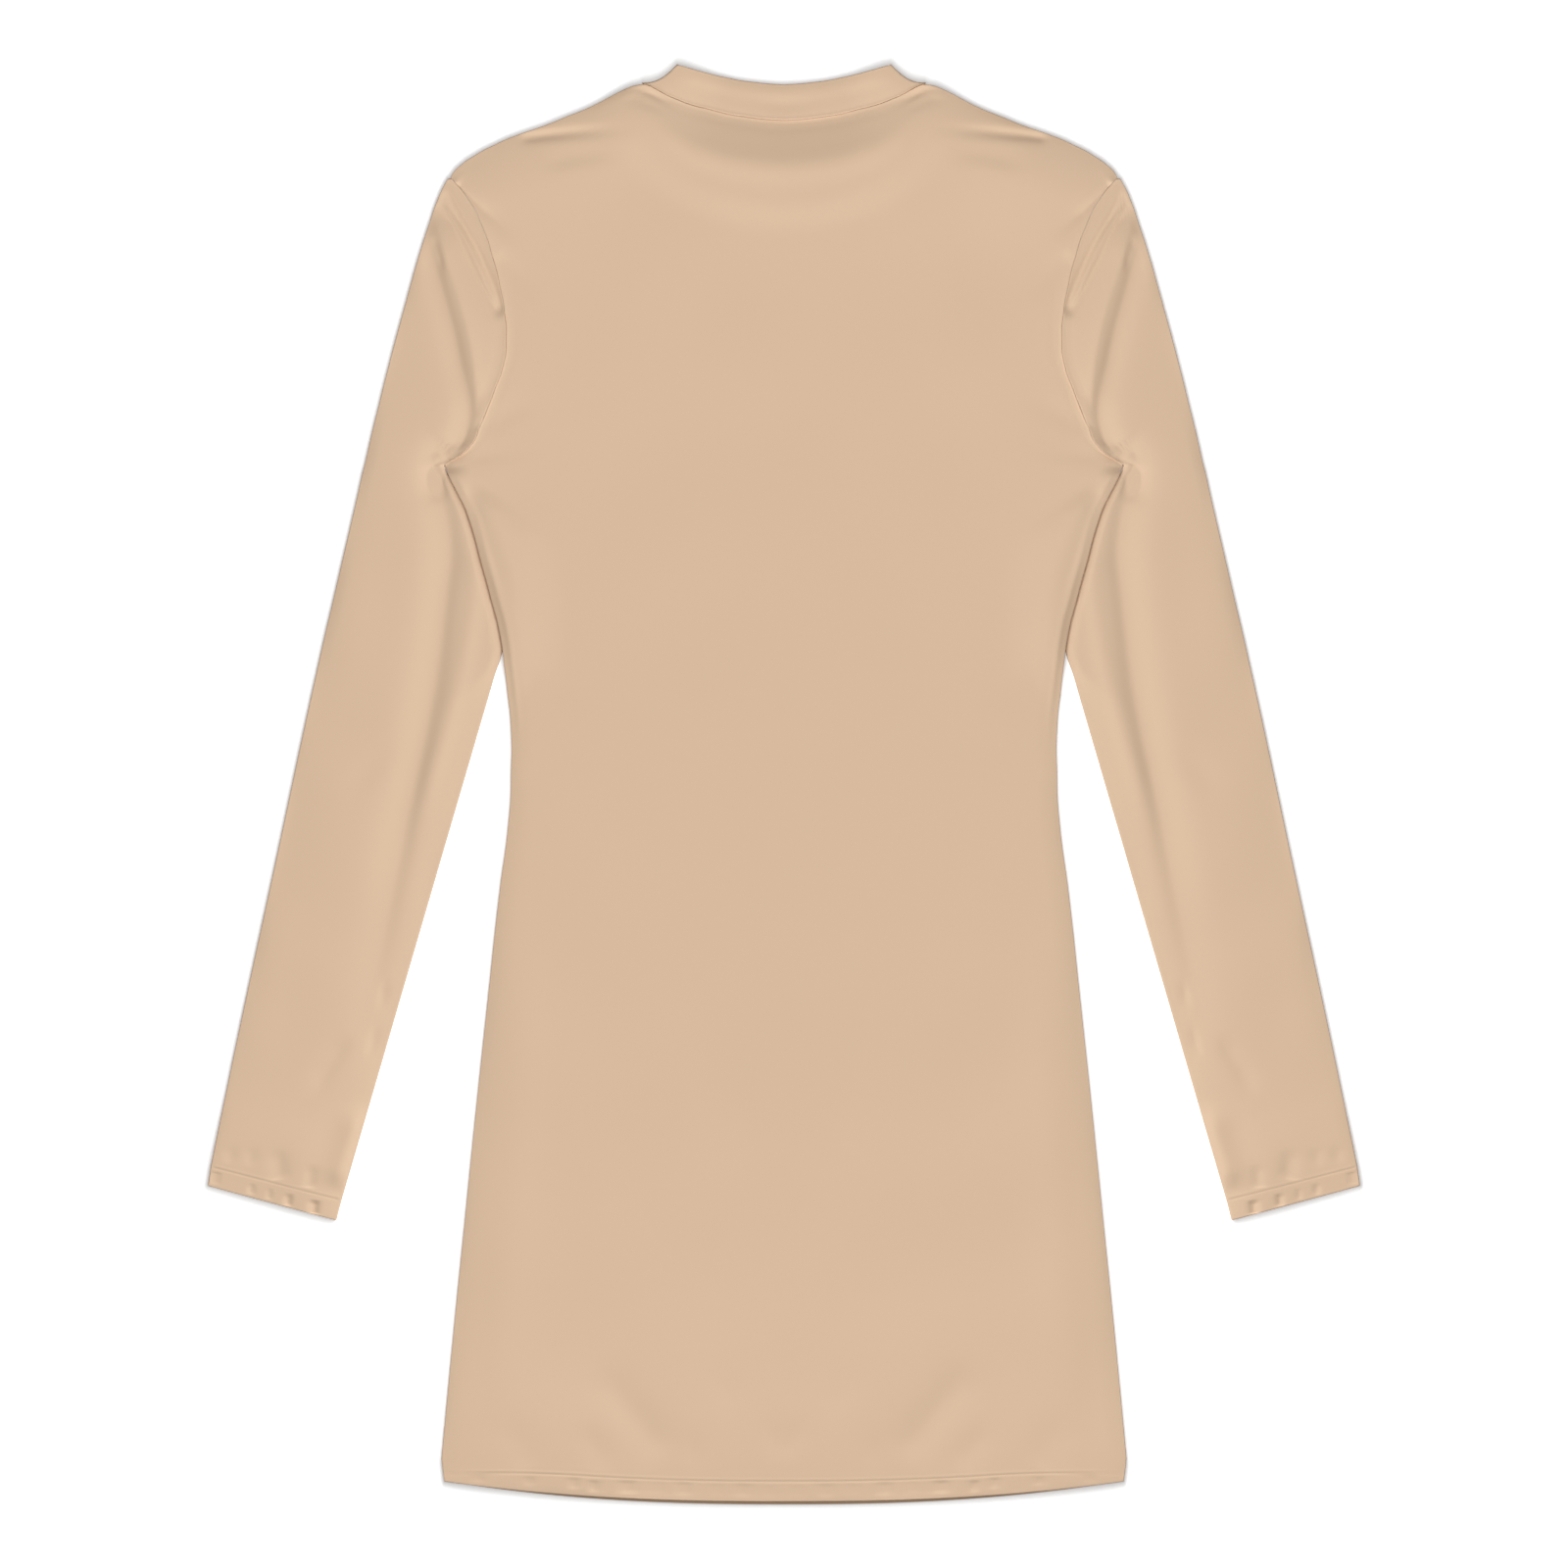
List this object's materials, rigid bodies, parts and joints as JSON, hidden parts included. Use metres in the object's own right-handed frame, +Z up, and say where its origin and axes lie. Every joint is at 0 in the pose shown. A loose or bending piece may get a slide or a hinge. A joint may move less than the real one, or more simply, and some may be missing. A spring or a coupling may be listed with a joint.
{
  "type": "bodycon dress",
  "caption": "Fitted long-sleeved jersey dress with a low stand collar, laid flat with its back up.",
  "frame": {"origin": "on the surface the dress lies on, under the middle of its outline", "axes": "+Z up from the surface, +Y along the dress from hem to neck, +X across it towards the wearer's right sleeve"},
  "size_m": [0.6932, 0.8674, 0.0066],
  "materials": {
    "jersey": "fine plain stretch knit, matte with a soft sheen",
    "collar_jersey": "the same fine knit, folded double"
  },
  "bodies": {
    "root": {"back_panel": "jersey", "front_panel": "jersey", "sleeve_left": "jersey", "sleeve_right": "jersey", "collar": "collar_jersey"}
  },
  "joints": []
}
